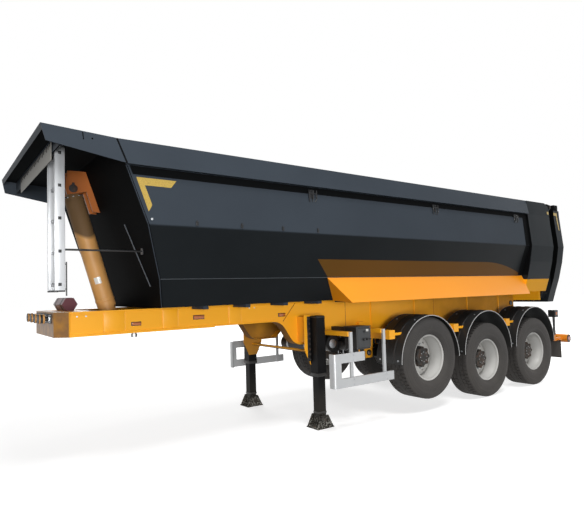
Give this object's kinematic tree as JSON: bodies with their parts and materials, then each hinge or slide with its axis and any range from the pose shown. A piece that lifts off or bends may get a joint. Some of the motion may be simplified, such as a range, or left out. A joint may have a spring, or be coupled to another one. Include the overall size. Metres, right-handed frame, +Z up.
{
  "type": "dump semi-trailer",
  "caption": "Dump semi-trailer with an open faceted tub that tips on a front telescopic cylinder, a top-hung tailgate, a front canopy and ladder, and landing legs.",
  "frame": {"origin": "on the ground, midway along and across the vehicle", "axes": "+X towards the tailgate, +Y to the vehicle's right side, +Z up; the coupling nose is at -X"},
  "size_m": [8.38, 2.55, 3.025],
  "materials": {
    "chassis_yellow": "gloss",
    "body_dark": "satin",
    "black_paint": "satin",
    "machined_steel": "satin",
    "rest_pad": "matte",
    "air_spring_rubber": "matte",
    "black_plastic": "matte",
    "flap_rubber": "matte",
    "aluminium_profile": "satin",
    "cylinder_gold": "satin",
    "chrome_stage": "polished",
    "tyre_rubber": "matte",
    "wheel_silver": "satin",
    "coupling_plastic": "gloss"
  },
  "bodies": {
    "chassis": {"air_springs": "air_spring_rubber", "air_tanks": "black_paint", "axles": "black_paint", "body_rest_pads": "rest_pad", "chassis_beam_left": "chassis_yellow", "chassis_beam_right": "chassis_yellow", "chassis_crossmembers": "chassis_yellow", "coupling_plate": "chassis_yellow", "cylinder_cradle": "chassis_yellow", "kingpin": "machined_steel", "landing_leg_brackets": "chassis_yellow", "landing_legs": "black_paint", "mudguards_left": "black_plastic", "mudguards_right": "black_plastic", "outriggers": "chassis_yellow", "rear_bumper": "chassis_yellow", "rear_lamps": "black_plastic", "rear_mudflaps": "flap_rubber", "side_guards": "aluminium_profile", "supply_couplings": "coupling_plastic", "suspension_hangers": "chassis_yellow", "tipping_pivot_shaft": "black_paint", "tool_box": "black_plastic", "trailing_arms": "black_paint", "valve_box": "black_plastic"},
    "tub": {"tub_floor": "body_dark", "tub_side_left": "body_dark", "tub_side_right": "body_dark", "front_wall": "body_dark", "top_rails": "body_dark", "rear_frame": "body_dark", "side_skirts": "chassis_yellow", "canopy": "body_dark", "cylinder_head_bracket": "chassis_yellow", "tipping_ears": "black_paint", "ladder": "aluminium_profile", "tailgate_hinge_ears": "body_dark"},
    "tailgate": {"tailgate_panel": "body_dark", "tailgate_frame": "body_dark", "tailgate_ribs": "body_dark"},
    "cylinder_base": {"cylinder_base": "cylinder_gold"},
    "cylinder_stage_1": {"cylinder_stage_1": "chrome_stage"},
    "cylinder_stage_2": {"cylinder_stage_2": "chrome_stage"},
    "cylinder_stage_3": {"cylinder_stage_3": "chrome_stage"},
    "cylinder_stage_4": {"cylinder_stage_4": "chrome_stage"},
    "cylinder_cover": {"cylinder_cover": "cylinder_gold"},
    "wheel_front_left": {"tyre_front_left": "tyre_rubber", "wheel_front_left": "wheel_silver"},
    "wheel_front_right": {"tyre_front_right": "tyre_rubber", "wheel_front_right": "wheel_silver"},
    "wheel_middle_left": {"tyre_middle_left": "tyre_rubber", "wheel_middle_left": "wheel_silver"},
    "wheel_middle_right": {"tyre_middle_right": "tyre_rubber", "wheel_middle_right": "wheel_silver"},
    "wheel_rear_left": {"tyre_rear_left": "tyre_rubber", "wheel_rear_left": "wheel_silver"},
    "wheel_rear_right": {"tyre_rear_right": "tyre_rubber", "wheel_rear_right": "wheel_silver"}
  },
  "joints": [
    {"name": "body_tip", "type": "hinge", "parent": "chassis", "child": "tub", "pos_m": [3.54, 0, 1.3], "axis": [0, 1, 0], "range_deg": [0, 45]},
    {"name": "tailgate_swing", "type": "hinge", "parent": "tub", "child": "tailgate", "pos_m": [3.795, 0, 2.93], "axis": [0, -1, 0], "range_deg": [0, 75]},
    {"name": "cylinder_swing", "type": "hinge", "parent": "chassis", "child": "cylinder_base", "pos_m": [-3.301, 0, 1.385], "axis": [0, 1, 0], "range_deg": [0, 41]},
    {"name": "stage_1_slide", "type": "slide", "parent": "cylinder_base", "child": "cylinder_stage_1", "axis": [-0.2784, 0, 0.9605], "range_m": [0, 1.05]},
    {"name": "stage_2_slide", "type": "slide", "parent": "cylinder_stage_1", "child": "cylinder_stage_2", "axis": [-0.2784, 0, 0.9605], "range_m": [0, 1.05]},
    {"name": "stage_3_slide", "type": "slide", "parent": "cylinder_stage_2", "child": "cylinder_stage_3", "axis": [-0.2784, 0, 0.9605], "range_m": [0, 1.05]},
    {"name": "stage_4_slide", "type": "slide", "parent": "cylinder_stage_3", "child": "cylinder_stage_4", "axis": [-0.2784, 0, 0.9605], "range_m": [0, 1.05]},
    {"name": "cover_slide", "type": "slide", "parent": "cylinder_stage_4", "child": "cylinder_cover", "axis": [-0.2784, 0, 0.9605], "range_m": [0, 1.05]},
    {"name": "wheel_front_left_spin", "type": "hinge", "parent": "chassis", "child": "wheel_front_left", "pos_m": [0.48, -1.02, 0.696], "axis": [0, 1, 0], "continuous": true},
    {"name": "wheel_front_right_spin", "type": "hinge", "parent": "chassis", "child": "wheel_front_right", "pos_m": [0.48, 1.02, 0.696], "axis": [0, 1, 0], "continuous": true},
    {"name": "wheel_middle_left_spin", "type": "hinge", "parent": "chassis", "child": "wheel_middle_left", "pos_m": [1.79, -1.02, 0.536], "axis": [0, 1, 0], "continuous": true},
    {"name": "wheel_middle_right_spin", "type": "hinge", "parent": "chassis", "child": "wheel_middle_right", "pos_m": [1.79, 1.02, 0.536], "axis": [0, 1, 0], "continuous": true},
    {"name": "wheel_rear_left_spin", "type": "hinge", "parent": "chassis", "child": "wheel_rear_left", "pos_m": [3.1, -1.02, 0.536], "axis": [0, 1, 0], "continuous": true},
    {"name": "wheel_rear_right_spin", "type": "hinge", "parent": "chassis", "child": "wheel_rear_right", "pos_m": [3.1, 1.02, 0.536], "axis": [0, 1, 0], "continuous": true}
  ],
  "couplings": [
    {"joint": "cylinder_swing", "follows": "body_tip", "ratio": 0.90152},
    {"joint": "stage_1_slide", "follows": "body_tip", "m_per_rad": 1.332},
    {"joint": "stage_2_slide", "follows": "body_tip", "m_per_rad": 1.332},
    {"joint": "stage_3_slide", "follows": "body_tip", "m_per_rad": 1.332},
    {"joint": "stage_4_slide", "follows": "body_tip", "m_per_rad": 1.332},
    {"joint": "cover_slide", "follows": "body_tip", "m_per_rad": 1.332}
  ]
}
